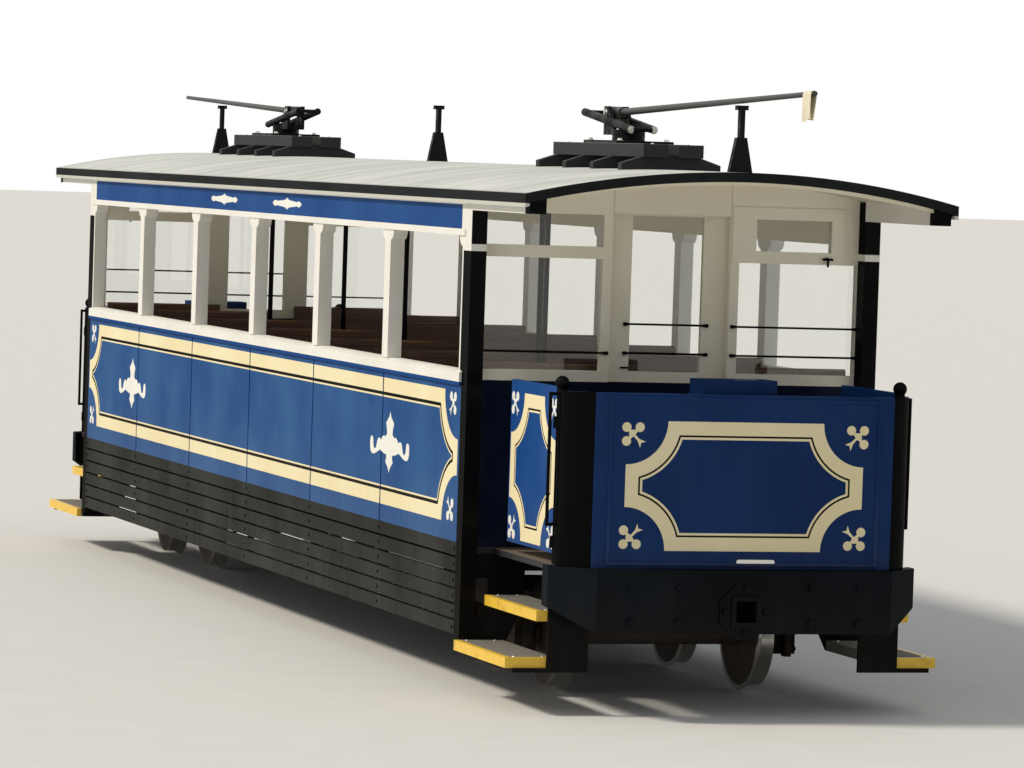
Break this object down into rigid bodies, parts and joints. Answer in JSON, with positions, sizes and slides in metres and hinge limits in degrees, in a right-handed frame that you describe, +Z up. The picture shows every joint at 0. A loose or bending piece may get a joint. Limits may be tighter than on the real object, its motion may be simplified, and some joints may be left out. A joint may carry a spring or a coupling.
{
  "type": "street-running funicular tramcar",
  "caption": "Timber-bodied funicular tramcar with an open-windowed saloon, railed end platforms, steps and slatted skirts on two bogies.",
  "frame": {"origin": "under the middle of the car, level with the bottoms of the wheel flanges", "axes": "+X along the car to its downhill end, +Y to the side that lies on the right when one stands outside and faces the downhill end, +Z up"},
  "size_m": [12.8808, 2.362, 3.21],
  "materials": {
    "blue_paint": "gloss enamel",
    "white_paint": "gloss paint",
    "cream_paint": "gloss paint",
    "black_paint": "gloss enamel",
    "slat_paint": "dull paint",
    "roof_canvas": "painted canvas",
    "oak_boards": "varnished",
    "steel": "worn",
    "cast": "as cast",
    "tread": "grit tread with yellow edge",
    "glazing": "clear"
  },
  "bodies": {
    "car": {"solebars": "black_paint", "centre_sills": "black_paint", "crossbearers": "black_paint", "body_bolsters": "black_paint", "floor": "oak_boards", "headstocks": "blue_paint", "side_walls": "blue_paint", "letterboards": "blue_paint", "waist_rails": "white_paint", "pillars": "white_paint", "bulkhead_glass": "glazing", "door_runners": "steel", "corner_posts": "black_paint", "bulkheads": "cream_paint", "roof": "roof_canvas", "fascia": "black_paint", "carlines": "cream_paint", "cant_rails": "cream_paint", "dashes": "blue_paint", "gate_posts": "black_paint", "brake_stands": "blue_paint", "step_treads": "tread", "step_hangers": "black_paint", "skirts": "slat_paint", "bench_backs": "oak_boards", "bench_seats": "oak_boards", "bench_ends": "oak_boards", "stanchions": "black_paint", "roof_boards": "black_paint", "hook_stands": "black_paint", "trolley_bases": "black_paint"},
    "bogie_down": {"bogie_frame_down": "cast", "axleboxes_down": "cast", "leaf_springs_down": "steel"},
    "wheelset_down_outer": {"wheelset_down_outer": "steel"},
    "wheelset_down_inner": {"wheelset_down_inner": "steel"},
    "bogie_up": {"bogie_frame_up": "cast", "axleboxes_up": "cast", "leaf_springs_up": "steel"},
    "wheelset_up_outer": {"wheelset_up_outer": "steel"},
    "wheelset_up_inner": {"wheelset_up_inner": "steel"},
    "door_down": {"saloon_door_down": "cream_paint", "door_glass_down": "glazing"},
    "door_up": {"saloon_door_up": "cream_paint", "door_glass_up": "glazing"},
    "gate_down_left": {"gate_down_left": "blue_paint"},
    "gate_down_right": {"gate_down_right": "blue_paint"},
    "gate_up_left": {"gate_up_left": "blue_paint"},
    "gate_up_right": {"gate_up_right": "blue_paint"},
    "trolley_swivel_down": {"trolley_swivel_down": "black_paint"},
    "trolley_pole_down": {"trolley_pole_down": "black_paint"},
    "trolley_swivel_up": {"trolley_swivel_up": "black_paint"},
    "trolley_pole_up": {"trolley_pole_up": "black_paint"}
  },
  "joints": [
    {"name": "bogie_down_pivot", "type": "hinge", "parent": "car", "child": "bogie_down", "pos_m": [3.675, 0, 0.585], "axis": [0, 0, 1], "range_deg": [-8, 8]},
    {"name": "wheelset_down_outer_spin", "type": "hinge", "parent": "bogie_down", "child": "wheelset_down_outer", "pos_m": [4.26, 0, 0.305], "axis": [0, 1, 0], "continuous": true},
    {"name": "wheelset_down_inner_spin", "type": "hinge", "parent": "bogie_down", "child": "wheelset_down_inner", "pos_m": [3.09, 0, 0.305], "axis": [0, 1, 0], "continuous": true},
    {"name": "door_down_slide", "type": "slide", "parent": "car", "child": "door_down", "axis": [0, 1, 0], "range_m": [0, 0.62]},
    {"name": "gate_down_left_hinge", "type": "hinge", "parent": "car", "child": "gate_down_left", "pos_m": [5.414, -0.924, 1.225], "axis": [0, 0, 1], "range_deg": [-78, 0]},
    {"name": "gate_down_right_hinge", "type": "hinge", "parent": "car", "child": "gate_down_right", "pos_m": [5.414, 0.924, 1.225], "axis": [0, 0, 1], "range_deg": [0, 78]},
    {"name": "trolley_down_swivel", "type": "hinge", "parent": "car", "child": "trolley_swivel_down", "pos_m": [3.62, 0, 2.975], "axis": [0, 0, 1], "range_deg": [-30, 30]},
    {"name": "trolley_down_raise", "type": "hinge", "parent": "trolley_swivel_down", "child": "trolley_pole_down", "pos_m": [3.4, 0, 3.098], "axis": [0, -1, 0], "range_deg": [0, 60]},
    {"name": "bogie_up_pivot", "type": "hinge", "parent": "car", "child": "bogie_up", "pos_m": [-3.675, 0, 0.585], "axis": [0, 0, 1], "range_deg": [-8, 8]},
    {"name": "wheelset_up_outer_spin", "type": "hinge", "parent": "bogie_up", "child": "wheelset_up_outer", "pos_m": [-4.26, 0, 0.305], "axis": [0, 1, 0], "continuous": true},
    {"name": "wheelset_up_inner_spin", "type": "hinge", "parent": "bogie_up", "child": "wheelset_up_inner", "pos_m": [-3.09, 0, 0.305], "axis": [0, 1, 0], "continuous": true},
    {"name": "door_up_slide", "type": "slide", "parent": "car", "child": "door_up", "axis": [0, -1, 0], "range_m": [0, 0.62]},
    {"name": "gate_up_left_hinge", "type": "hinge", "parent": "car", "child": "gate_up_left", "pos_m": [-5.414, -0.924, 1.225], "axis": [0, 0, 1], "range_deg": [0, 78]},
    {"name": "gate_up_right_hinge", "type": "hinge", "parent": "car", "child": "gate_up_right", "pos_m": [-5.414, 0.924, 1.225], "axis": [0, 0, 1], "range_deg": [-78, 0]},
    {"name": "trolley_up_swivel", "type": "hinge", "parent": "car", "child": "trolley_swivel_up", "pos_m": [-3.62, 0, 2.975], "axis": [0, 0, 1], "range_deg": [-30, 30]},
    {"name": "trolley_up_raise", "type": "hinge", "parent": "trolley_swivel_up", "child": "trolley_pole_up", "pos_m": [-3.4, 0, 3.098], "axis": [0, 1, 0], "range_deg": [0, 60]}
  ]
}
